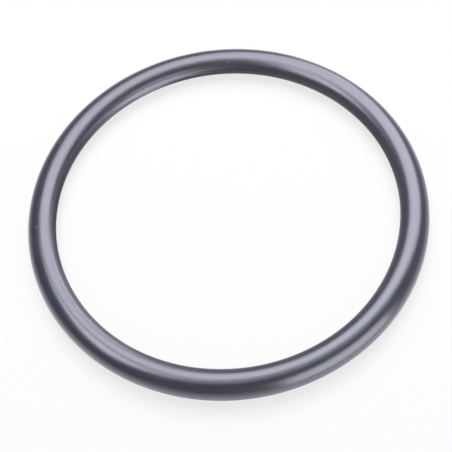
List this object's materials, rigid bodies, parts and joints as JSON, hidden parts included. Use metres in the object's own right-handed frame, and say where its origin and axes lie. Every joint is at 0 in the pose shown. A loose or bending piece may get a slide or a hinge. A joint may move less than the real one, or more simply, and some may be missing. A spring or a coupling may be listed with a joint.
{
  "type": "o-ring",
  "caption": "Moulded rubber o-ring with a round section and a fine parting ridge around its inside and outside.",
  "frame": {"origin": "centre of the ring, in the plane of its parting line", "axes": "+Z along the ring's axis; the ring lies in the XY plane and looks the same all round"},
  "size_m": [0.0776, 0.0776, 0.0052],
  "materials": {
    "rubber": "semi-gloss dark blue-grey moulded rubber"
  },
  "bodies": {
    "root": {"o_ring": "rubber"}
  },
  "joints": []
}
